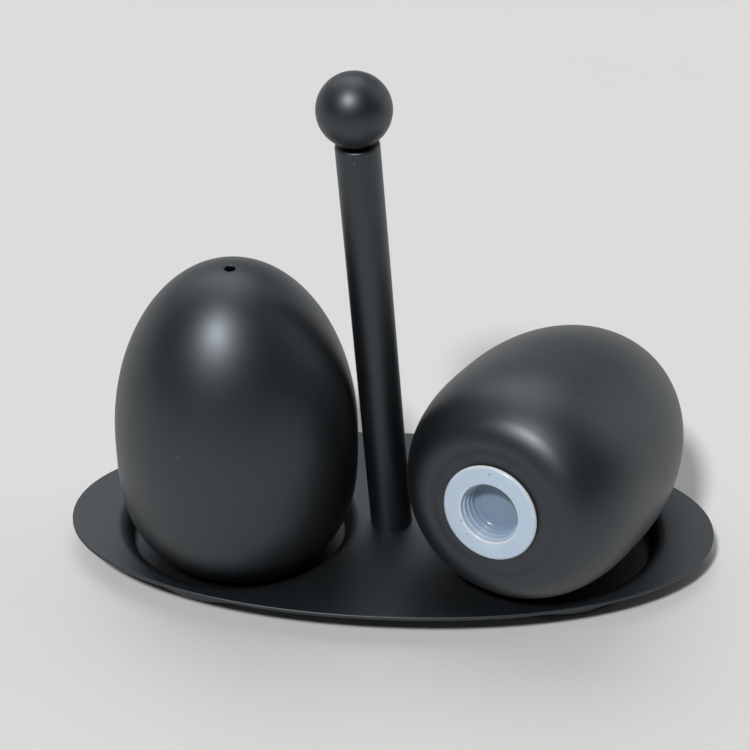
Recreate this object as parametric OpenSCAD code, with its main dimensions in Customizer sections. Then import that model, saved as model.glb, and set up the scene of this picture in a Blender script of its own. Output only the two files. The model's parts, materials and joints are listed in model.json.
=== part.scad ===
// Egg-shaped salt and pepper shakers on an oval tray with two round wells,
// a leaning carrying post and a ball knob. Units are millimetres, +Z is up.
// The origin is the middle of the tray, on the table that it stands on.

/* [Tray] */
// Length of the oval tray, along X
tray_l = 136; // [134:1:150]
// Width of the oval tray, along Y
tray_w = 64; // [64:1:80]
// Fullness of the oval: 2 is a true ellipse, more is squarer
tray_full = 2.07; // [2:0.01:2.4]
// Thickness of the pressed sheet
sheet = 0.8; // [0.6:0.1:1]
// Height of the tray's upper face above the table
tray_h = 6; // [5.6:0.1:6.4]
// Distance from the middle of the tray to the middle of each well
well_x = 32.4; // [32:0.1:34]
// Radius at which the tray starts to round down into a well
well_r = 25.8; // [25.2:0.1:26]
// Radius of the rounding at a well's upper edge, on the upper face
well_round = 2.8; // [2:0.1:3]
// Radius of the fillet at a well's floor, on the upper face
floor_round = 1; // [0.6:0.1:1.2]

/* [Post and knob] */
// Diameter of the carrying post
post_d = 8.7; // [8:0.1:9]
// Length of the post along its axis, from the tray to its top end
post_l = 89.3; // [80:0.1:100]
// Lean of the post from upright, towards -X, in degrees
post_lean = 4.4; // [0:0.1:4.6]
// Rounding of the post's top edge
post_round = 0.5; // [0.3:0.1:1]
// Diameter of the ball knob
ball_d = 14.6; // [12:0.1:18]
// Depth to which the ball is spot-faced where it sits on the post
ball_seat = 0.3; // [0.2:0.1:0.6]

/* [Fasteners] */
// Diameter of the screw and of the knob's stud
thread_d = 4; // [3:0.5:4]
// Depth of the screw's hole in the post's foot
foot_hole = 9.5; // [8:0.5:12]
// Depth of the stud in the post, and in the ball
stud_hold = 6.5; // [5:0.5:7]
// Free space left at the end of each tapped hole
hole_spare = 1; // [0.5:0.5:2]
// Diameter of the screw's pan head
head_d = 7.6; // [7:0.1:8]
// Height of the screw's pan head
head_h = 2.2; // [1.8:0.1:2.4]
// Outer diameter of the washer under the tray
washer_d = 10; // [9:0.5:12]
// Thickness of the washer
washer_t = 0.6; // [0.4:0.1:0.8]

/* [Shakers] */
// Largest radius of a shaker
egg_r = 25; // [24:0.1:25]
// Height of the widest ring above the shaker's foot
belly_z = 26.7; // [25:0.1:28]
// Height from the widest ring to the top
crown_h = 39; // [36:0.5:44]
// Half height of the curve below the widest ring
skirt_h = 31.7; // [31:0.1:33]
// Fullness of the curve below the widest ring
skirt_full = 3.4; // [3.2:0.1:3.6]
// Wall thickness of the shell and of the base disc
wall = 0.7; // [0.5:0.1:0.7]
// Height at which the wall starts to round in to the foot
foot_start = 2.5; // [2:0.1:3]
// Radius of the two rounded edges that meet at the seam in the foot
seam_bend = 0.8; // [0.6:0.1:1]
// Angle through which each of those edges turns, in degrees
seam_turn = 40; // [20:5:60]
// Height of the base disc's upturned rim
rim_rise = 1.1; // [0.8:0.1:1.5]
// Diameter of a pour hole
pour_d = 2.2; // [1.5:0.1:3]
// Radius of the ring of pour holes in the pepper shaker
pour_ring_r = 3; // [2.5:0.1:4]

/* [Stoppers] */
// Depth of the base disc's outer face inside the foot
dish = 0.05; // [0:0.05:0.3]
// Radius of the filling hole
fill_r = 7.75; // [7.5:0.05:8]
// Radius of the stopper's flange
flange_r = 10; // [9:0.1:11]
// Thickness of the stopper's flange
flange_t = 1.2; // [1:0.1:1.4]
// Radius of the stopper's open mouth
mouth_r = 6.15; // [5.8:0.05:6.3]
// Length of the stopper inside the base disc
plug_l = 4.4; // [4.2:0.1:6]
// Height of each rib round the plug, and of the space between two
rib_h = 0.9; // [0.8:0.05:0.9]

/* [Resting places] */
// Heading of the lying pepper shaker's tip, from +X towards +Y, in degrees
lie_heading = 64; // [60:0.5:70]
// Lean of the lying pepper shaker from upright, in degrees
lie_lean = 97.7; // [92:0.1:97.7]
// Place of its widest ring's middle in front of the well's middle
lie_front = 3.5; // [3:0.1:6]
// Clearance under its belly, over the well's floor
lie_gap = 0.45; // [0.4:0.05:1]
// Clearance under the standing salt shaker's stopper
stand_gap = 0.1; // [0.05:0.05:0.3]
// Place of the salt shaker in front of the well's middle
stand_front = 1.5; // [0:0.1:3]
// Place of the salt shaker to the right of the well's middle
stand_right = 0.5; // [0:0.1:2]

/* [Hidden] */
$fn = 96;
eps = 0.01;
black = [0.10, 0.10, 0.11];
steel = [0.72, 0.73, 0.75];
milky = [0.80, 0.87, 0.94];

// --- tray ---
tray_steps = 144;
tray_under = tray_h - sheet;
wall_r = well_r - well_round;
floor_r = wall_r - floor_round;
screw_play = 0.4;
screw_hole_d = thread_d + screw_play;

// --- post, knob and fasteners ---
post_foot_cut = 10;
ball_r = ball_d / 2;
ball_centre = post_l + ball_r - ball_seat;
bevel = 0.4;
washer_play = 0.3;
washer_hole_d = thread_d + washer_play;
head_top = tray_under - washer_t;
screw_reach = foot_hole - hole_spare;
recess_w = 0.9;
recess_l = 4;
recess_depth = 1.2;

// --- shakers ---
crown_steps = 36;
skirt_steps = 20;
corner_steps = 10;
bend_steps = 6;
egg_h = belly_z + crown_h;
drill_depth = 4;

// Radius of the shaker's outside at height z, below the widest ring
function skirt_r(z) = egg_r * sqrt(1 - pow((belly_z - z) / skirt_h, skirt_full));

// Angle of the outside at height z, below the widest ring, from level
function skirt_angle(z) =
    atan2(2 * skirt_r(z) * skirt_h,
          egg_r * egg_r * skirt_full * pow((belly_z - z) / skirt_h, skirt_full - 1));

// An arc in the turning plane, about [r, z]
function arc(r, z, radius, from, to, steps) =
    [for (i = [0:steps]) let (a = from + (to - from) * i / steps)
        [r + radius * cos(a), z + radius * sin(a)]];

// The corner between the skirt and the foot meets both without a crease
corner_angle = skirt_angle(foot_start);
corner_radius = foot_start / (1 - cos(corner_angle));
foot_r = skirt_r(foot_start) - corner_radius * sin(corner_angle);
seam_in = seam_bend * sin(seam_turn);
lip_r = foot_r - seam_in;
lip_top = dish + wall + rim_rise;

// Outside of the shell from the skirt to the top of the crown
shell_side = concat(
    [for (i = [1:skirt_steps - 1]) let (z = foot_start + (belly_z - foot_start) * i / skirt_steps)
        [skirt_r(z), z]],
    [for (i = [0:crown_steps]) let (a = 90 * i / crown_steps)
        [egg_r * cos(a), belly_z + crown_h * sin(a)]]
);

// Outside of the shell: down the lip, over the seam's edge, round the foot and up the side
shell_outside = concat(
    [[lip_r, lip_top]],
    arc(foot_r, seam_bend, seam_bend, 270 - seam_turn, 270, bend_steps),
    arc(foot_r, corner_radius, corner_radius, 270 + corner_angle / corner_steps,
        270 + corner_angle, corner_steps - 1),
    shell_side
);

// A direction of unit length from point p to point q
function unit(p, q) = (q - p) / norm(q - p);

// The outline moved inwards by the distance t, square to itself at each point
function moved_in(outline, t) =
    [for (i = [0:len(outline) - 1])
        let (before = outline[max(i - 1, 0)],
             after = outline[min(i + 1, len(outline) - 1)],
             along = i == len(outline) - 1 ? [-1, 0] : unit(before, after))
        outline[i] + t * [-along[1], along[0]]];

// Inside of the shell: down the lip, round the foot, and up to the top
lip_inside_angle = 270 + asin((lip_r + wall - foot_r) / (corner_radius - wall));
shell_inside = concat(
    [[lip_r + wall, lip_top]],
    arc(foot_r, corner_radius, corner_radius - wall, lip_inside_angle,
        270 + corner_angle, corner_steps),
    moved_in(shell_side, wall)
);

// --- stoppers ---
plug_play = 0.1;
plug_r = fill_r - plug_play;
flange_top = dish - flange_t;
flange_edge = flange_t / 2;
ribs = 2;
groove = 0.5;
groove_slope = 0.2;
nose_in = 1.1;
plug_nose_r = plug_r - nose_in;
plug_end = dish + plug_l;
plug_floor = 1.1;
cup_steps = 3;
cup_step_in = 0.3;
cup_step_h = (plug_end - plug_floor - flange_top) / (cup_steps + 1);
mouth_edge = 0.4;

module tray_outline() {
    polygon([for (i = [0:tray_steps - 1])
        let (a = 360 * i / tray_steps, c = cos(a), s = sin(a))
        [tray_l / 2 * sign(c) * pow(abs(c), 2 / tray_full),
         tray_w / 2 * sign(s) * pow(abs(s), 2 / tray_full)]]);
}

// A quarter of a sheet bend in the turning plane, about [r, z]
module sheet_bend(r, z, inner, right, up) {
    intersection() {
        translate([r, z])
            difference() {
                circle(r = inner + sheet);
                circle(r = inner);
            }
        translate([right ? r : r - inner - sheet, up ? z : z - inner - sheet])
            square(inner + sheet);
    }
}

module well() {
    upper_z = tray_h - well_round;
    lower_z = sheet + floor_round;
    rotate_extrude() {
        sheet_bend(well_r, upper_z, well_round - sheet, false, true);
        translate([wall_r, lower_z])
            square([sheet, upper_z - lower_z]);
        sheet_bend(floor_r, lower_z, floor_round, true, false);
        square([floor_r, sheet]);
    }
}

module tray() {
    color(black) {
        difference() {
            translate([0, 0, tray_under])
                linear_extrude(sheet)
                    tray_outline();
            for (side = [-1, 1])
                translate([side * well_x, 0, 0])
                    cylinder(r = well_r, h = 2 * tray_h);
            cylinder(d = screw_hole_d, h = 2 * tray_h);
        }
        for (side = [-1, 1])
            translate([side * well_x, 0, 0])
                well();
    }
}

// Puts a piece on the post's axis, with its own origin where the post meets the tray
module on_post() {
    translate([0, 0, tray_h])
        rotate([0, -post_lean, 0])
            children();
}

module post() {
    color(black)
        difference() {
            on_post()
                rotate_extrude()
                    polygon(concat(
                        [[0, -post_foot_cut], [post_d / 2, -post_foot_cut]],
                        arc(post_d / 2 - post_round, post_l - post_round, post_round, 0, 90, bend_steps),
                        [[0, post_l]]));
            translate([0, 0, tray_h - 2 * post_foot_cut])
                cylinder(r = 2 * post_d, h = 2 * post_foot_cut);
            translate([0, 0, tray_h - eps])
                cylinder(d = thread_d, h = foot_hole + eps);
            on_post()
                translate([0, 0, post_l - stud_hold - hole_spare])
                    cylinder(d = thread_d, h = stud_hold + hole_spare + eps);
        }
}

module ball_knob() {
    color(black)
        on_post()
            difference() {
                translate([0, 0, ball_centre])
                    sphere(d = ball_d);
                translate([0, 0, post_l - 2 * ball_seat])
                    cylinder(r = ball_r, h = 2 * ball_seat);
                translate([0, 0, post_l - eps])
                    cylinder(d = thread_d, h = stud_hold + hole_spare + eps);
            }
}

module knob_stud() {
    color(steel)
        on_post()
            translate([0, 0, post_l - stud_hold])
                bevelled_rod(2 * stud_hold);
}

// A rod of the thread's diameter, bevelled at both ends
module bevelled_rod(length) {
    r = thread_d / 2;
    rotate_extrude()
        polygon([[0, 0], [r - bevel, 0], [r, bevel], [r, length - bevel],
                 [r - bevel, length], [0, length]]);
}

module post_washer() {
    color(steel)
        translate([0, 0, head_top])
            difference() {
                cylinder(d = washer_d, h = washer_t);
                cylinder(d = washer_hole_d, h = 3 * washer_t, center = true);
            }
}

module post_screw() {
    shank = tray_h + screw_reach - head_top;
    color(steel)
        difference() {
            union() {
                translate([0, 0, head_top - bevel])
                    bevelled_rod(shank + bevel);
                translate([0, 0, head_top - head_h])
                    rotate_extrude()
                        polygon(concat(
                            [[0, head_h], [0, 0]],
                            arc(head_d / 2 - head_h / 2, head_h / 2, head_h / 2, 270, 360, bend_steps),
                            [[head_d / 2, head_h]]));
            }
            for (turn = [0, 90])
                rotate(turn)
                    translate([-recess_l / 2, -recess_w / 2, head_top - head_h - recess_depth])
                        cube([recess_l, recess_w, 2 * recess_depth]);
        }
}

// A shaker's shell, standing at the origin, with its pour holes at the given places
module shell(holes) {
    color(black)
        difference() {
            rotate_extrude()
                polygon(concat(shell_outside,
                               [for (i = [len(shell_inside) - 1:-1:0]) shell_inside[i]]));
            for (place = holes)
                translate([place[0], place[1], egg_h - drill_depth])
                    cylinder(d = pour_d, h = 2 * drill_depth);
        }
}

// The disc that closes the foot, nearly flush with it, with the filling hole and an upturned rim
module base_disc() {
    color(black)
        rotate_extrude()
            polygon(concat(
                [[fill_r, dish]],
                arc(lip_r - seam_in, dish + seam_bend, seam_bend, 270, 270 + seam_turn, bend_steps),
                [[lip_r, lip_top], [lip_r - wall, lip_top], [lip_r - wall, dish + wall],
                 [fill_r, dish + wall]]));
}

// A soft cup-shaped stopper: a round-edged flange, a ribbed plug and a stepped hollow
module stopper() {
    cup_floor = plug_end - plug_floor;
    color(milky)
        rotate_extrude()
            polygon(concat(
                arc(mouth_r + mouth_edge, flange_top + mouth_edge, mouth_edge, 180, 270, bend_steps),
                arc(flange_r - flange_edge, dish - flange_edge, flange_edge, 270, 450, 2 * bend_steps),
                [for (rib = [0:ribs - 1]) each
                    let (z = dish + rib * 2 * rib_h)
                    [[plug_r, z], [plug_r, z + rib_h],
                     [plug_r - groove, z + rib_h + groove_slope],
                     [plug_r - groove, z + 2 * rib_h - groove_slope]]],
                [[plug_nose_r, plug_end - groove], [plug_nose_r - groove, plug_end], [0, plug_end],
                 [0, cup_floor]],
                [for (i = [cup_steps:-1:0]) each
                    let (r = mouth_r - cup_step_in * i,
                         top = i == cup_steps ? cup_floor : flange_top + cup_step_h * (i + 1),
                         low = i == 0 ? flange_top + 2 * mouth_edge : flange_top + cup_step_h * i)
                    [[r, top], [r, low]]]));
}

// The salt shaker stands on its stopper's flange in the left well
module at_salt() {
    translate([stand_right - well_x, -stand_front, sheet + stand_gap - flange_top])
        children();
}

// The pepper shaker lies over the right well, its foot to the front
module at_pepper() {
    translate([well_x, -lie_front, sheet + egg_r + lie_gap])
        rotate([0, lie_lean, lie_heading])
            translate([0, 0, -belly_z])
                children();
}

module salt_shell() {
    at_salt()
        shell([[0, 0]]);
}

module pepper_shell() {
    at_pepper()
        shell([for (turn = [90, 210, 330]) pour_ring_r * [cos(turn), sin(turn)]]);
}

tray();
post();
ball_knob();
knob_stud();
post_washer();
post_screw();
salt_shell();
at_salt() base_disc();  // salt_base_disc
at_salt() stopper();  // salt_stopper
pepper_shell();
at_pepper() base_disc();  // pepper_base_disc
at_pepper() stopper();  // pepper_stopper
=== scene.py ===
"""Egg-shaped salt and pepper shakers on an oval tray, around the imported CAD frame. Metres, +Z up."""

import json
import math

import bmesh
import bpy
from mathutils import Matrix, Vector


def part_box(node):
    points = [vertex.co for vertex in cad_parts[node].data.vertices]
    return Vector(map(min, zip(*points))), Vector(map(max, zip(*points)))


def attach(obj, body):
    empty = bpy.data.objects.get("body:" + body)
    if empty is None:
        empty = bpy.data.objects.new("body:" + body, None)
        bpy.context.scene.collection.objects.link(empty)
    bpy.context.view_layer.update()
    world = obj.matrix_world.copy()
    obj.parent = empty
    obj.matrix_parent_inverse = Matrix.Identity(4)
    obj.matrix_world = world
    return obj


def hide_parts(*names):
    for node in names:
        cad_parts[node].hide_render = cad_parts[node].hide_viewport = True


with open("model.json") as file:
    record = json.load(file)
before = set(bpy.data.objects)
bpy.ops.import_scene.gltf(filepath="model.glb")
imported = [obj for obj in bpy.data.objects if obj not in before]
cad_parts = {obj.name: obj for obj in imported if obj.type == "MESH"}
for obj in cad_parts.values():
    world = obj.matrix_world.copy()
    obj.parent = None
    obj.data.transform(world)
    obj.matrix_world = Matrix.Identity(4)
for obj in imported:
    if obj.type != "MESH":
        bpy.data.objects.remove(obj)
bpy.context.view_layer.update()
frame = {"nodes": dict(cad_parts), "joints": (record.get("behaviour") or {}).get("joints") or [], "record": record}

MM = 0.001

# --- Sizes read from the frame ---
tray_low, tray_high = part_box("tray")
ball_low, ball_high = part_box("ball_knob")
salt_low, salt_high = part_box("salt_shell")
feet = {mount["name"]: mount["pos_m"] for mount in frame["record"]["mounts"]}

TRAY_TOP = tray_high.z
TRAY_HALF_LENGTH = tray_high.x
TRAY_HALF_WIDTH = tray_high.y
WELL_X = feet["right_foot"][0]
EGG_RADIUS = (salt_high.x - salt_low.x) / 2
EGG_HEIGHT = salt_high.z - salt_low.z
BALL_RADIUS = (ball_high.x - ball_low.x) / 2
BALL_CENTRE = Vector(((ball_low.x + ball_high.x) / 2, (ball_low.y + ball_high.y) / 2,
                      ball_high.z - BALL_RADIUS))

# --- Tray ---
SHEET = 0.8 * MM
TRAY_FULLNESS = 2.07
WELL_RADIUS = 25.8 * MM
WELL_ROUND = 2.8 * MM
FLOOR_ROUND = 1.0 * MM
RIM_ROUND = 0.22 * MM
SCREW_HOLE_RADIUS = 2.2 * MM
FLAT_MARGIN = 0.35 * MM

# --- Post and knob ---
POST_RADIUS = 4.35 * MM
POST_LENGTH = 89.3 * MM
POST_ROUND = 0.5 * MM
THREAD_RADIUS = 2.0 * MM
STUD_HOLD = 7.5 * MM
POST_TURNS = 96
BALL_TURNS = 128

# --- Shakers ---
BELLY_HEIGHT = 26.7 * MM
CROWN_HEIGHT = EGG_HEIGHT - BELLY_HEIGHT
SKIRT_HEIGHT = 31.7 * MM
SKIRT_FULLNESS = 3.4
WALL = 0.7 * MM
FOOT_START = 2.5 * MM
SEAM_BEND = 0.8 * MM
SEAM_TURN = math.radians(40)
SEAM_REACH = 1.5 * MM
DISH = 0.05 * MM
LIP_TOP = DISH + WALL + 1.1 * MM
POUR_RADIUS = 1.1 * MM
POUR_RING = 3.0 * MM
POUR_TURNS = (90, 210, 330)
HOLE_EDGE = 0.18 * MM
HOLE_EASE = 0.25 * MM

# --- Stoppers ---
FILL_RADIUS = 7.75 * MM
PLUG_RADIUS = 7.65 * MM
FLANGE_RADIUS = 10.0 * MM
FLANGE_FACE = DISH - 1.2 * MM
MOUTH_RADIUS = 6.15 * MM
MOUTH_ROUND = 0.4 * MM
PLUG_END = DISH + 4.4 * MM
PLUG_FLOOR = 1.1 * MM
CUP_STEP_IN = 0.3 * MM
CUP_STEPS = 3
RIBS = 2
RIB = 0.9 * MM
GROOVE = 0.5 * MM
NOSE_STEP = 1.1 * MM
SMALL_ROUND = 0.12 * MM
CUP_FILLET = 0.8 * MM

# --- Fineness of the pieces ---
TURNS = 160
HOLE_TURNS = 32
RIM_STEPS = 256
SKIRT_STEPS = 48
CROWN_STEPS = 96
SEAM_STEPS = 12
MERGE = 1e-7
SMOOTH_BELOW = math.radians(50)


# ---------------------------------------------------------------- outlines

def arc(r, z, radius, start, end, steps):
    """Points of an arc about (r, z) in the turning plane, angles in degrees."""
    points = []
    for i in range(steps + 1):
        a = math.radians(start + (end - start) * i / steps)
        points.append((r + radius * math.cos(a), z + radius * math.sin(a)))
    return points


def skirt_radius(z):
    """Radius of a shaker's outside below its widest ring."""
    share = (BELLY_HEIGHT - z) / SKIRT_HEIGHT
    return EGG_RADIUS * math.sqrt(1 - share ** SKIRT_FULLNESS)


def skirt_angle(z):
    """Angle of the outside from level, in radians, below the widest ring."""
    share = (BELLY_HEIGHT - z) / SKIRT_HEIGHT
    run = EGG_RADIUS ** 2 * SKIRT_FULLNESS * share ** (SKIRT_FULLNESS - 1)
    return math.atan2(2 * skirt_radius(z) * SKIRT_HEIGHT, run)


CORNER_ANGLE = skirt_angle(FOOT_START)
CORNER_RADIUS = FOOT_START / (1 - math.cos(CORNER_ANGLE))
FOOT_RADIUS = skirt_radius(FOOT_START) - CORNER_RADIUS * math.sin(CORNER_ANGLE)
LIP_RADIUS = FOOT_RADIUS - SEAM_BEND * math.sin(SEAM_TURN)
SEAM_DEPTH = SEAM_BEND * (1 - math.cos(SEAM_TURN))


def egg_side(hole_radius):
    """The outside of a shell from the skirt over the crown to the pour hole."""
    points = []
    for i in range(1, SKIRT_STEPS):
        z = FOOT_START + (BELLY_HEIGHT - FOOT_START) * i / SKIRT_STEPS
        points.append((skirt_radius(z), z))
    end = math.acos(hole_radius / EGG_RADIUS)
    for i in range(CROWN_STEPS + 1):
        a = end * i / CROWN_STEPS
        points.append((EGG_RADIUS * math.cos(a), BELLY_HEIGHT + CROWN_HEIGHT * math.sin(a)))
    return points


def seam_rise(r, depth):
    """Height of the soft coated valley over the seam, at a radius: deepest where the two pieces meet."""
    share = min(abs(r - LIP_RADIUS) / SEAM_REACH, 1)
    return depth * (1 + math.cos(math.pi * share)) / 2


def egg_foot():
    """The outside of a shell's foot: down the lip, out of the seam's valley and round the corner."""
    corner = 270 + math.degrees(CORNER_ANGLE)
    points = [(LIP_RADIUS, LIP_TOP), (LIP_RADIUS, SEAM_DEPTH)]
    steps = SEAM_STEPS // 2
    for i in range(1, steps):
        r = LIP_RADIUS + (FOOT_RADIUS - LIP_RADIUS) * i / steps
        points.append((r, seam_rise(r, SEAM_DEPTH)))
    for r, z in arc(FOOT_RADIUS, CORNER_RADIUS, CORNER_RADIUS, 270, corner, 30):
        points.append((r, z + seam_rise(r, SEAM_DEPTH)))
    return points


def egg_foot_inside():
    """The inside of a shell's foot: down the lip and round the corner."""
    corner = 270 + math.degrees(CORNER_ANGLE)
    radius = CORNER_RADIUS - WALL
    start = 270 + math.degrees(math.asin((LIP_RADIUS + WALL - FOOT_RADIUS) / radius))
    return [(LIP_RADIUS + WALL, LIP_TOP)] + arc(FOOT_RADIUS, CORNER_RADIUS, radius, start, corner, 24)


def moved_in(outline, distance):
    """An outline moved to its left by a distance, square to itself at each point."""
    result = []
    for i, (r, z) in enumerate(outline):
        before = outline[max(i - 1, 0)]
        after = outline[min(i + 1, len(outline) - 1)]
        run = Vector((after[0] - before[0], after[1] - before[1])).normalized()
        result.append((r - distance * run.y, z + distance * run.x))
    return result


# ---------------------------------------------------------------- mesh tools

def turned(outline, closed=True, turns=TURNS):
    """A bmesh of an outline in the turning plane, spun once round Z."""
    bm = bmesh.new()
    points = [bm.verts.new((r, 0, z)) for r, z in outline]
    for a, b in zip(points, points[1:]):
        bm.edges.new((a, b))
    if closed:
        bm.edges.new((points[-1], points[0]))
    bmesh.ops.spin(bm, geom=bm.verts[:] + bm.edges[:], cent=(0, 0, 0), axis=(0, 0, 1), dvec=(0, 0, 0),
                   angle=math.tau, steps=turns, use_merge=True, use_duplicate=False)
    bmesh.ops.remove_doubles(bm, verts=bm.verts, dist=MERGE)
    bmesh.ops.dissolve_degenerate(bm, edges=bm.edges, dist=1e-8)
    bmesh.ops.recalc_face_normals(bm, faces=bm.faces)
    return bm


def finished(bm, name, place, material, body, node):
    """Turns a bmesh into a piece that rides on a body and stands for a CAD node."""
    bmesh.ops.transform(bm, matrix=place, verts=bm.verts)
    for edge in bm.edges:
        edge.smooth = len(edge.link_faces) == 2 and edge.calc_face_angle(0) < SMOOTH_BELOW
    for face in bm.faces:
        face.smooth = True
    mesh = bpy.data.meshes.new(name)
    bm.to_mesh(mesh)
    bm.free()
    piece = bpy.data.objects.new(name, mesh)
    bpy.context.scene.collection.objects.link(piece)
    piece.data.materials.append(material)
    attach(piece, body)
    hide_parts(node)
    return piece


def foot_centre(node, axis):
    """The middle of the ring on which a turned CAD node stands, looking along its axis."""
    points = [v.co.copy() for v in frame["nodes"][node].data.vertices]
    lowest = min(p.dot(axis) for p in points)
    ring = [p for p in points if p.dot(axis) < lowest + 0.01 * MM]
    span_low = Vector([min(p[i] for p in ring) for i in range(3)])
    span_high = Vector([max(p[i] for p in ring) for i in range(3)])
    return (span_low + span_high) / 2


def stood_on(foot, axis):
    """A matrix that takes a piece turned about Z from the origin to a foot point and an axis."""
    turn = Vector((0, 0, 1)).rotation_difference(axis).to_matrix().to_4x4()
    return Matrix.Translation(foot) @ turn


# --- Places of the pieces ---
joint_axis = {joint["name"]: Vector(joint["axis"]).normalized() for joint in frame["joints"]}
UP = Vector((0, 0, 1))
PEPPER_AXIS = -joint_axis["pepper_stopper_pull"]
POST_FOOT = Vector((0, 0, TRAY_TOP))
POST_AXIS = (BALL_CENTRE - POST_FOOT).normalized()

AT_ORIGIN = Matrix.Identity(4)
AT_SALT = stood_on(foot_centre("salt_shell", UP), UP)
AT_PEPPER = stood_on(foot_centre("pepper_shell", PEPPER_AXIS), PEPPER_AXIS)
AT_POST = stood_on(POST_FOOT, POST_AXIS)

SALT_HOLES = [Vector((0, 0))]
PEPPER_HOLES = [Vector((POUR_RING * math.cos(a), POUR_RING * math.sin(a)))
                for a in (math.radians(turn) for turn in POUR_TURNS)]


# ---------------------------------------------------------------- materials

def new_material(name):
    material = bpy.data.materials.new(name)
    material.use_nodes = True
    return material, material.node_tree.nodes, material.node_tree.links


def noise(nodes, links, scale, detail, roughness=0.5):
    """A noise read in the piece's own coordinates, with the given number of cells in a metre."""
    where = nodes.new("ShaderNodeTexCoord")
    texture = nodes.new("ShaderNodeTexNoise")
    texture.inputs["Scale"].default_value = scale
    texture.inputs["Detail"].default_value = detail
    texture.inputs["Roughness"].default_value = roughness
    links.new(where.outputs["Object"], texture.inputs["Vector"])
    return texture.outputs["Fac"]


def ranged(nodes, links, value, low, high, to_low, to_high):
    """A value stretched from one range to another."""
    spread = nodes.new("ShaderNodeMapRange")
    links.new(value, spread.inputs["Value"])
    for name, number in (("From Min", low), ("From Max", high), ("To Min", to_low), ("To Max", to_high)):
        spread.inputs[name].default_value = number
    return spread.outputs["Result"]


def mixed(nodes, links, share, first, second):
    """A colour between two, by a share."""
    mix = nodes.new("ShaderNodeMix")
    mix.data_type = "RGBA"
    links.new(share, mix.inputs["Factor"])
    for socket, colour in (("A", first), ("B", second)):
        target = [s for s in mix.inputs if s.name == socket and s.type == "RGBA"][0]
        if isinstance(colour, tuple):
            target.default_value = (*colour, 1)
        else:
            links.new(colour, target)
    return [s for s in mix.outputs if s.type == "RGBA"][0]


def combined(nodes, links, operation, first, second):
    """Two values joined by a sum, a difference or a product, as the operation says."""
    node = nodes.new("ShaderNodeMath")
    node.operation = operation
    links.new(first, node.inputs[0])
    links.new(second, node.inputs[1])
    return node.outputs["Value"]


def bumped(nodes, links, height, strength, distance, normal=None):
    """A bump node from a height."""
    bump = nodes.new("ShaderNodeBump")
    bump.inputs["Strength"].default_value = strength
    bump.inputs["Distance"].default_value = distance
    links.new(height, bump.inputs["Height"])
    if normal is not None:
        links.new(normal, bump.inputs["Normal"])
    return bump.outputs["Normal"]


def specks(nodes, links, scale, size):
    """Small round dots, strewn with the given number of cells in a metre; size is in cells."""
    where = nodes.new("ShaderNodeTexCoord")
    texture = nodes.new("ShaderNodeTexVoronoi")
    texture.inputs["Scale"].default_value = scale
    links.new(where.outputs["Object"], texture.inputs["Vector"])
    return ranged(nodes, links, texture.outputs["Distance"], size, 2 * size, 1, 0)


# Sizes of the mottling are in cells to a metre, and the bumps' heights in metres.
CLOUD_CELLS = 60
RUB_CELLS = 150
GRAIN_CELLS = 2600
PEEL_CELLS = 420
DUST_CELLS = 150
DUST_SIZE = 0.014
GRAIN_HEIGHT = 0.00002
PEEL_HEIGHT = 0.00004
COATING_DARK = (0.0003, 0.0008, 0.0014)
COATING_PALE = (0.0006, 0.0012, 0.0020)
COATING_TINT = (0.84, 0.93, 1.0, 1)
COATING_ROUGHNESS = 0.46
COATING_IOR = 1.8
DUST = (0.16, 0.16, 0.16)


def black_coating(name):
    """Fine satin black coating: faint cloudiness, a very fine grain, rubbed spots and specks of dust."""
    material, nodes, links = new_material(name)
    shader = nodes["Principled BSDF"]
    shader.inputs["IOR"].default_value = COATING_IOR
    shader.inputs["Specular Tint"].default_value = COATING_TINT
    clouds = noise(nodes, links, CLOUD_CELLS, 4)
    rubs = noise(nodes, links, RUB_CELLS, 3)
    grain = noise(nodes, links, GRAIN_CELLS, 3, 0.6)
    peel = noise(nodes, links, PEEL_CELLS, 2)
    share = ranged(nodes, links, clouds, 0.35, 0.65, 0, 1)
    tone = mixed(nodes, links, share, COATING_DARK, COATING_PALE)
    dust = specks(nodes, links, DUST_CELLS, DUST_SIZE)
    links.new(mixed(nodes, links, dust, tone, DUST), shader.inputs["Base Color"])
    rough = ranged(nodes, links, clouds, 0.3, 0.7, COATING_ROUGHNESS - 0.02, COATING_ROUGHNESS + 0.02)
    rubbed = ranged(nodes, links, rubs, 0.62, 0.72, 0, 0.02)
    links.new(combined(nodes, links, "SUBTRACT", rough, rubbed), shader.inputs["Roughness"])
    soft = bumped(nodes, links, peel, 0.04, PEEL_HEIGHT)
    links.new(bumped(nodes, links, grain, 0.10, GRAIN_HEIGHT, soft), shader.inputs["Normal"])
    return material


STEEL_DULL = (0.50, 0.51, 0.53)
STEEL_BRIGHT = (0.66, 0.67, 0.68)


def bare_steel(name):
    """Bright zinc-plated steel with turning marks and a little dulling."""
    material, nodes, links = new_material(name)
    shader = nodes["Principled BSDF"]
    shader.inputs["Metallic"].default_value = 1.0
    clouds = noise(nodes, links, 300, 5)
    marks = noise(nodes, links, 2400, 2)
    links.new(mixed(nodes, links, clouds, STEEL_DULL, STEEL_BRIGHT), shader.inputs["Base Color"])
    links.new(ranged(nodes, links, clouds, 0.3, 0.7, 0.26, 0.42), shader.inputs["Roughness"])
    links.new(bumped(nodes, links, marks, 0.15, 0.00004), shader.inputs["Normal"])
    return material


DIRT_CELLS = 300
DIRT_SIZE = 0.03
THICK_MILK = (0.42, 0.52, 0.64)
CLEAR_MILK = (0.50, 0.60, 0.72)
# Painted shade: a darker blue-grey for the milk down inside the cup, towards its floor.
PAINTED_CUP_SHADE = (0.19, 0.26, 0.35)
# Painted glow: a warm pale colour on the flange's outer edge and round the mouth, where light catches the edges.
PAINTED_EDGE_GLOW = (0.74, 0.72, 0.68)
DIRT = (0.02, 0.02, 0.02)
PLASTIC_IOR = 1.45


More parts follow.
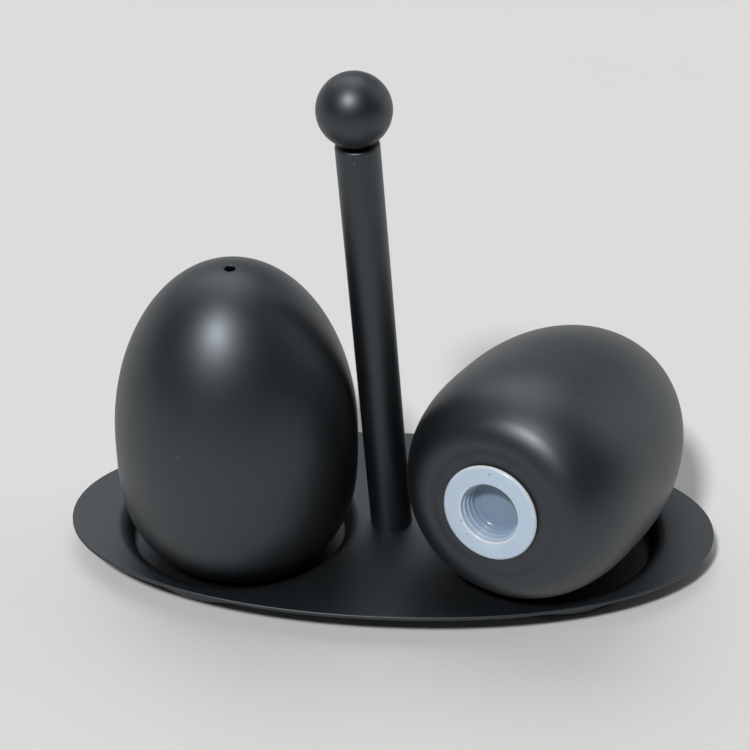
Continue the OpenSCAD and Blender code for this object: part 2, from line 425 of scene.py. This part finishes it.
def soft_plastic(name, axis, foot):
    """Milky soft plastic: pale flange with a painted warm glow on its edges, painted shade darker down in the thin
    cup, a few specks.
    """
    material, nodes, links = new_material(name)
    shader = nodes["Principled BSDF"]
    shader.inputs["IOR"].default_value = PLASTIC_IOR
    shader.inputs["Subsurface Weight"].default_value = 0.35
    shader.inputs["Subsurface Radius"].default_value = (1.0, 1.1, 1.3)
    shader.inputs["Subsurface Scale"].default_value = 0.8 * MM
    where = nodes.new("ShaderNodeTexCoord")

    def vector(operation, first, second):
        node = nodes.new("ShaderNodeVectorMath")
        node.operation = operation
        links.new(first, node.inputs[0])
        if second is not None:
            node.inputs[1].default_value = second
        return node.outputs["Value" if operation in ("DOT_PRODUCT", "LENGTH") else "Vector"]

    from_foot = vector("SUBTRACT", where.outputs["Object"], foot)
    depth = vector("DOT_PRODUCT", from_foot, axis)
    radius = vector("LENGTH", vector("CROSS_PRODUCT", from_foot, axis), None)
    cloud = noise(nodes, links, 130, 3)
    body = mixed(nodes, links, cloud, THICK_MILK, CLEAR_MILK)
    # Painted shade: the milk grows darker with depth down the cup.
    cup_shade_share = ranged(nodes, links, depth, FLANGE_FACE + 0.5 * MM, PLUG_END - PLUG_FLOOR, 0, 1)
    body = mixed(nodes, links, cup_shade_share, body, PAINTED_CUP_SHADE)
    # Painted glow: a warm band on the flange's outer edge.
    rim = ranged(nodes, links, radius, FLANGE_RADIUS - 0.35 * MM, FLANGE_RADIUS - 0.05 * MM, 0, 0.8)
    body = mixed(nodes, links, rim, body, PAINTED_EDGE_GLOW)
    # Painted glow: a warm ring round the mouth, close to the flange face.
    near_mouth = ranged(nodes, links, radius, MOUTH_RADIUS + 0.15 * MM, MOUTH_RADIUS + 0.5 * MM, 0.7, 0)
    near_face = ranged(nodes, links, depth, FLANGE_FACE, FLANGE_FACE + 0.5 * MM, 1, 0)
    mouth_glow_share = combined(nodes, links, "MULTIPLY", near_mouth, near_face)
    body = mixed(nodes, links, mouth_glow_share, body, PAINTED_EDGE_GLOW)
    dirt = specks(nodes, links, DIRT_CELLS, DIRT_SIZE)
    links.new(mixed(nodes, links, dirt, body, DIRT), shader.inputs["Base Color"])
    links.new(ranged(nodes, links, cloud, 0.3, 0.7, 0.20, 0.28), shader.inputs["Roughness"])
    links.new(bumped(nodes, links, noise(nodes, links, 500, 2), 0.05, 0.00005), shader.inputs["Normal"])
    return material


FLOOR_DARK = (0.590, 0.585, 0.574)
FLOOR_PALE = (0.615, 0.610, 0.599)


def studio_floor(name):
    """Smooth pale grey table surface with the faintest mottling."""
    material, nodes, links = new_material(name)
    shader = nodes["Principled BSDF"]
    cloud = noise(nodes, links, 8, 4)
    fine = noise(nodes, links, 900, 2)
    links.new(mixed(nodes, links, cloud, FLOOR_DARK, FLOOR_PALE), shader.inputs["Base Color"])
    links.new(ranged(nodes, links, fine, 0.3, 0.7, 0.65, 0.75), shader.inputs["Roughness"])
    links.new(bumped(nodes, links, fine, 0.03, 0.0001), shader.inputs["Normal"])
    return material


BLACK = black_coating("matt_black_coating")
STEEL = bare_steel("bright_plated_steel")
FLOOR = studio_floor("studio_table")


# ---------------------------------------------------------------- camera, light and floor

CAMERA_ELEVATION = 33.63
CAMERA_AZIMUTH = 3.41
CAMERA_DISTANCE = 0.420
AIM = Vector((-3.48 * MM, 0, 42.66 * MM))
FIELD_PER_DISTANCE = 2.7637
SENSOR = 36.0
FLOOR_HALF_WIDTH = 2.5


def look_from(azimuth, elevation):
    """The direction from the object to an eye at that azimuth and elevation."""
    a, e = math.radians(azimuth), math.radians(elevation)
    return Vector((math.sin(a) * math.cos(e), -math.cos(a) * math.cos(e), math.sin(e)))


def add_camera():
    data = bpy.data.cameras.new("camera")
    data.sensor_width = SENSOR
    data.lens = SENSOR * FIELD_PER_DISTANCE
    data.clip_start = 0.01
    camera = bpy.data.objects.new("camera", data)
    back = look_from(CAMERA_AZIMUTH, CAMERA_ELEVATION)
    camera.location = AIM + CAMERA_DISTANCE * back
    camera.rotation_euler = back.to_track_quat("Z", "Y").to_euler()
    bpy.context.scene.collection.objects.link(camera)
    bpy.context.scene.camera = camera


def add_floor():
    bm = bmesh.new()
    bmesh.ops.create_grid(bm, x_segments=8, y_segments=8, size=FLOOR_HALF_WIDTH)
    mesh = bpy.data.meshes.new("table_surface")
    bm.to_mesh(mesh)
    bm.free()
    floor = bpy.data.objects.new("table_surface", mesh)
    bpy.context.scene.collection.objects.link(floor)
    mesh.materials.append(FLOOR)


KEY_AZIMUTH = -23
KEY_ELEVATION = 53
KEY_ACROSS = 8
KEY_STRENGTH = 2.8


def add_lights():
    """One studio softbox, high up in front and to the left, seen eight degrees across from the table."""
    key = bpy.data.lights.new("softbox", "SUN")
    key.energy = KEY_STRENGTH
    key.angle = math.radians(KEY_ACROSS)
    lamp = bpy.data.objects.new("softbox", key)
    lamp.rotation_euler = look_from(KEY_AZIMUTH, KEY_ELEVATION).to_track_quat("Z", "Y").to_euler()
    bpy.context.scene.collection.objects.link(lamp)


ROOM_COLOUR = (0.975, 0.99, 1.0, 1)
ROOM_FRONT = 0.05
ROOM_BACK = 0.30
HORIZON_GAIN = 0.5
PANEL_SOFTNESS = 16
PANELS = [{"azimuth": -142, "elevation": 42, "reach": 17, "gain": 1.1},
          {"azimuth": 180, "elevation": 64, "reach": 18, "gain": 2.0},
          {"azimuth": 112, "elevation": 32, "reach": 20, "gain": 0.7}]
BACKDROP = (0.62, 0.62, 0.63, 1)


def add_room():
    """The room round the table: dim towards the camera, a pale screen and bright panels behind."""
    world = bpy.data.worlds.new("room")
    world.use_nodes = True
    nodes, links = world.node_tree.nodes, world.node_tree.links

    where = nodes.new("ShaderNodeTexCoord")
    split = nodes.new("ShaderNodeSeparateXYZ")
    links.new(where.outputs["Generated"], split.inputs[0])
    behind = ranged(nodes, links, split.outputs["Y"], -0.10, 0.50, ROOM_FRONT, ROOM_BACK)
    low_down = ranged(nodes, links, split.outputs["Z"], 0, 0.35, HORIZON_GAIN, 0)
    at_back = ranged(nodes, links, split.outputs["Y"], 0, 0.40, 0, 1)
    horizon = combined(nodes, links, "MULTIPLY", low_down, at_back)
    strength = combined(nodes, links, "ADD", behind, horizon)
    for panel in PANELS:
        facing = nodes.new("ShaderNodeVectorMath")
        facing.operation = "DOT_PRODUCT"
        facing.inputs[1].default_value = look_from(panel["azimuth"], panel["elevation"])
        links.new(where.outputs["Generated"], facing.inputs[0])
        outer = math.cos(math.radians(panel["reach"] + PANEL_SOFTNESS / 2))
        inner = math.cos(math.radians(panel["reach"] - PANEL_SOFTNESS / 2))
        glow = ranged(nodes, links, facing.outputs["Value"], outer, inner, 0, panel["gain"])
        strength = combined(nodes, links, "ADD", strength, glow)
    lit = nodes["Background"]
    lit.inputs["Color"].default_value = ROOM_COLOUR
    links.new(strength, lit.inputs["Strength"])
    plain = nodes.new("ShaderNodeBackground")
    plain.inputs["Color"].default_value = BACKDROP
    seen = nodes.new("ShaderNodeLightPath")
    shown = nodes.new("ShaderNodeMixShader")
    links.new(seen.outputs["Is Camera Ray"], shown.inputs[0])
    links.new(lit.outputs[0], shown.inputs[1])
    links.new(plain.outputs[0], shown.inputs[2])
    links.new(shown.outputs[0], nodes["World Output"].inputs["Surface"])
    bpy.context.scene.world = world


bpy.context.scene.view_settings.view_transform = "Standard"
add_camera()
add_floor()
add_lights()
add_room()


# ---------------------------------------------------------------- tray

def well_outline():
    """The upper skin of a well, from the flat of the tray down to the middle of its floor."""
    top = TRAY_TOP
    wall_r = WELL_RADIUS - WELL_ROUND
    floor_r = wall_r - FLOOR_ROUND
    floor_z = tray_low.z + SHEET
    points = [(WELL_RADIUS + FLAT_MARGIN, top)]
    points += arc(WELL_RADIUS, top - WELL_ROUND, WELL_ROUND, 90, 180, 20)
    points += arc(floor_r, floor_z + FLOOR_ROUND, FLOOR_ROUND, 0, -90, 12)
    points += [(floor_r - FLAT_MARGIN, floor_z), (floor_r / 2, floor_z), (0, floor_z)]
    return points


def oval_ring(bm, inset):
    """A loop of edges along the tray's oval, set in from its edge."""
    ring = []
    for i in range(RIM_STEPS):
        a = math.tau * i / RIM_STEPS
        c, s = math.cos(a), math.sin(a)
        x = math.copysign(abs(c) ** (2 / TRAY_FULLNESS), c) * (TRAY_HALF_LENGTH - inset)
        y = math.copysign(abs(s) ** (2 / TRAY_FULLNESS), s) * (TRAY_HALF_WIDTH - inset)
        ring.append(bm.verts.new((x, y, TRAY_TOP)))
    return [bm.edges.new((ring[i - 1], ring[i])) for i in range(RIM_STEPS)]


def make_tray():
    bm = bmesh.new()
    rim = oval_ring(bm, 0)
    margin = oval_ring(bm, 2 * RIM_ROUND)
    bmesh.ops.bridge_loops(bm, edges=rim + margin)
    loops = margin
    for side in (-1, 1):
        place = Matrix.Translation((side * WELL_X, 0, 0))
        well = turned(well_outline(), closed=False)
        bmesh.ops.transform(well, matrix=place, verts=well.verts)
        mesh = bpy.data.meshes.new("well_skin")
        well.to_mesh(mesh)
        well.free()
        before = set(bm.edges)
        bm.from_mesh(mesh)
        bpy.data.meshes.remove(mesh)
        loops += [e for e in bm.edges if e not in before and len(e.link_faces) == 1]
    hole = bmesh.ops.create_circle(bm, cap_ends=False, segments=HOLE_TURNS, radius=SCREW_HOLE_RADIUS,
                                   matrix=Matrix.Translation((0, 0, TRAY_TOP)))
    loops += list({e for v in hole["verts"] for e in v.link_edges})
    bmesh.ops.triangle_fill(bm, use_beauty=True, use_dissolve=False, edges=loops, normal=(0, 0, 1))
    bmesh.ops.remove_doubles(bm, verts=bm.verts, dist=MERGE)
    bmesh.ops.recalc_face_normals(bm, faces=bm.faces)
    if sum(f.normal.z * f.calc_area() for f in bm.faces) < 0:
        bmesh.ops.reverse_faces(bm, faces=bm.faces)
    bmesh.ops.solidify(bm, geom=bm.faces[:], thickness=SHEET)
    bmesh.ops.recalc_face_normals(bm, faces=bm.faces)
    edge_band = [e for e in bm.edges
                 if len(e.link_faces) == 2 and e.calc_face_angle(0) > math.radians(60)
                 and min(v.co.xy.length for v in e.verts) > SCREW_HOLE_RADIUS * 2]
    bmesh.ops.bevel(bm, geom=edge_band, offset=RIM_ROUND, offset_type="OFFSET", segments=4, profile=0.5,
                    affect="EDGES", material=-1)
    return finished(bm, "oval_tray", AT_ORIGIN, BLACK, "stand", "tray")


# ---------------------------------------------------------------- post and knob

def make_post():
    top = POST_LENGTH
    below = -2 * POST_RADIUS
    bore = THREAD_RADIUS
    outline = [(bore, below), (POST_RADIUS, below), (POST_RADIUS, top / 3), (POST_RADIUS, 2 * top / 3)]
    outline += arc(POST_RADIUS - POST_ROUND, top - POST_ROUND, POST_ROUND, 0, 90, 10)
    outline += [(bore, top)]
    bm = turned(outline, turns=POST_TURNS)
    bmesh.ops.transform(bm, matrix=AT_POST, verts=bm.verts)
    cut = bmesh.ops.bisect_plane(bm, geom=bm.verts[:] + bm.edges[:] + bm.faces[:], dist=1e-8,
                                 plane_co=POST_FOOT, plane_no=UP, clear_inner=True)
    rim = [g for g in cut["geom_cut"] if isinstance(g, bmesh.types.BMEdge)]
    bmesh.ops.bridge_loops(bm, edges=rim)
    bmesh.ops.recalc_face_normals(bm, faces=bm.faces)
    return finished(bm, "carrying_post", AT_ORIGIN, BLACK, "stand", "post")


def make_ball():
    seat = POST_LENGTH
    centre = (BALL_CENTRE - POST_FOOT).length
    flat = math.sqrt(BALL_RADIUS ** 2 - (centre - seat) ** 2)
    start = -math.degrees(math.acos(flat / BALL_RADIUS))
    outline = [(THREAD_RADIUS, seat + STUD_HOLD), (THREAD_RADIUS, seat)]
    outline += arc(0, centre, BALL_RADIUS, start, 90, 80)
    outline[-1] = (0, centre + BALL_RADIUS)
    outline += [(0, seat + STUD_HOLD)]
    bm = turned(outline, turns=BALL_TURNS)
    return finished(bm, "ball_knob_turned", AT_POST, BLACK, "stand", "ball_knob")


# ---------------------------------------------------------------- shakers

def drill(bm, centre, reach):
    """Opens a round hole through both skins of a crown, straight down at the given place."""
    def near(face):
        middle = face.calc_center_median()
        return middle.z > BELLY_HEIGHT and (middle.xy - centre).length < reach
    cut = [f for f in bm.faces if near(f)]
    bmesh.ops.delete(bm, geom=cut, context="FACES")
    open_edges = [e for e in bm.edges if len(e.link_faces) == 1]
    starts = []
    while open_edges:
        loop, front = [], [open_edges[0]]
        while front:
            edge = front.pop()
            if edge in loop:
                continue
            loop.append(edge)
            front += [o for v in edge.verts for o in v.link_edges if o in open_edges and o not in loop]
        starts.append(loop)
        open_edges = [e for e in open_edges if e not in loop]
    starts.sort(key=lambda loop: -max(v.co.z for e in loop for v in e.verts))
    rings = []
    for inset, drop in ((HOLE_EDGE, 0), (HOLE_EDGE * 0.3, HOLE_EDGE * 0.3), (0, HOLE_EDGE),
                        (0, WALL - HOLE_EDGE / 2)):
        ring = bmesh.ops.create_circle(bm, cap_ends=False, segments=HOLE_TURNS, radius=POUR_RADIUS + inset,
                                       matrix=Matrix.Translation((centre.x, centre.y, 0)))["verts"]
        for v in ring:
            share = min(v.co.xy.length / EGG_RADIUS, 1)
            v.co.z = BELLY_HEIGHT + CROWN_HEIGHT * math.sqrt(1 - share ** 2) - drop
        rings.append(list({e for v in ring for e in v.link_edges}))
    chain = [starts[0]] + rings + [starts[1]]
    for a, b in zip(chain, chain[1:]):
        bmesh.ops.bridge_loops(bm, edges=a + b)


def make_shell(name, place, body, node, holes):
    """A shell with its wall, turned in one piece, and its pour holes."""
    on_axis = holes == SALT_HOLES
    side = egg_side(POUR_RADIUS + HOLE_EDGE if on_axis else 0)
    outside = egg_foot() + side
    inside = egg_foot_inside() + moved_in(side, WALL)
    if on_axis:
        r, z = outside[-1]
        edge = [(POUR_RADIUS + HOLE_EDGE * 0.3, z - HOLE_EDGE * 0.3), (POUR_RADIUS, z - HOLE_EDGE),
                (POUR_RADIUS, z - WALL + HOLE_EDGE / 2)]
        inside[-1] = (POUR_RADIUS, z - WALL)
        outline = outside + edge + inside[::-1]
    else:
        outside[-1] = (0, outside[-1][1])
        inside[-1] = (0, outside[-1][1] - WALL)
        outline = outside + inside[::-1]
    bm = turned(outline)
    if not on_axis:
        for centre in holes:
            drill(bm, centre, POUR_RADIUS + 3 * HOLE_EDGE)
    bmesh.ops.recalc_face_normals(bm, faces=bm.faces)
    return finished(bm, name, place, BLACK, body, node)


def make_base_disc(name, place, body, node):
    """The pressed disc in a foot: a filling hole with eased edges, and an upturned rim."""
    ease = HOLE_EASE
    outline = arc(FILL_RADIUS + ease, DISH + ease, ease, 180, 270, 6)
    for i in range(SEAM_STEPS + 1):
        r = LIP_RADIUS - SEAM_REACH * (1 - i / SEAM_STEPS)
        outline.append((r, DISH + seam_rise(r, SEAM_DEPTH - DISH)))
    outline += [(LIP_RADIUS, LIP_TOP), (LIP_RADIUS - WALL, LIP_TOP), (LIP_RADIUS - WALL, DISH + WALL)]
    outline += [(FILL_RADIUS + ease, DISH + WALL), (FILL_RADIUS, DISH + WALL - ease)]
    bm = turned(outline)
    return finished(bm, name, place, BLACK, body, node)


def make_stopper(name, place, material, body, node):
    """A soft stopper: round-edged flange, ribbed plug, and a cup whose wall steps in."""
    half = (DISH - FLANGE_FACE) / 2
    face = FLANGE_FACE
    cup_floor = PLUG_END - PLUG_FLOOR
    step = (cup_floor - face) / (CUP_STEPS + 1)
    small = SMALL_ROUND
    outline = arc(MOUTH_RADIUS + MOUTH_ROUND, face + MOUTH_ROUND, MOUTH_ROUND, 180, 270, 8)
    outline += arc(FLANGE_RADIUS - half, DISH - half, half, 270, 450, 16)
    for rib in range(RIBS):
        z = DISH + rib * 2 * RIB
        outline += arc(PLUG_RADIUS - small, z + small if rib else z, small, -90 if rib else 0, 0, 4)
        outline += arc(PLUG_RADIUS - small, z + RIB - small, small, 0, 90, 4)
        outline += [(PLUG_RADIUS - GROOVE, z + RIB + GROOVE / 2)]
        outline += [(PLUG_RADIUS - GROOVE, z + 2 * RIB - GROOVE / 2)]
    nose = PLUG_RADIUS - NOSE_STEP
    outline += [(nose, PLUG_END - GROOVE)]
    outline += arc(nose - GROOVE, PLUG_END - GROOVE, GROOVE, 0, 90, 8)[1:]
    outline += [(0, PLUG_END), (0, cup_floor)]
    for i in range(CUP_STEPS, -1, -1):
        r = MOUTH_RADIUS - CUP_STEP_IN * i
        top = cup_floor if i == CUP_STEPS else face + step * (i + 1)
        low = face + 2 * MOUTH_ROUND if i == 0 else face + step * i
        if i == CUP_STEPS:
            outline += arc(r - CUP_FILLET, top - CUP_FILLET, CUP_FILLET, 90, 0, 8)
        else:
            outline += arc(r - small, top - small, small, 90, 0, 4)
        outline += [(r, low)] if i == 0 else arc(r + small, low + small, small, 180, 270, 4)
    bm = turned(outline)
    return finished(bm, name, place, material, body, node)


make_tray()
make_post()
make_ball()
make_shell("salt_shell_turned", AT_SALT, "salt_shaker", "salt_shell", SALT_HOLES)
make_shell("pepper_shell_turned", AT_PEPPER, "pepper_shaker", "pepper_shell", PEPPER_HOLES)
make_base_disc("salt_base_disc_turned", AT_SALT, "salt_shaker", "salt_base_disc")
make_base_disc("pepper_base_disc_turned", AT_PEPPER, "pepper_shaker", "pepper_base_disc")
make_stopper("salt_stopper_soft", AT_SALT, soft_plastic("milky_plastic_salt", UP, AT_SALT.translation),
             "salt_plug", "salt_stopper")
make_stopper("pepper_stopper_soft", AT_PEPPER,
             soft_plastic("milky_plastic_pepper", PEPPER_AXIS, AT_PEPPER.translation),
             "pepper_plug", "pepper_stopper")

for node in ("knob_stud", "post_washer", "post_screw"):
    part = frame["nodes"][node]
    for slot in part.material_slots:
        slot.material = STEEL
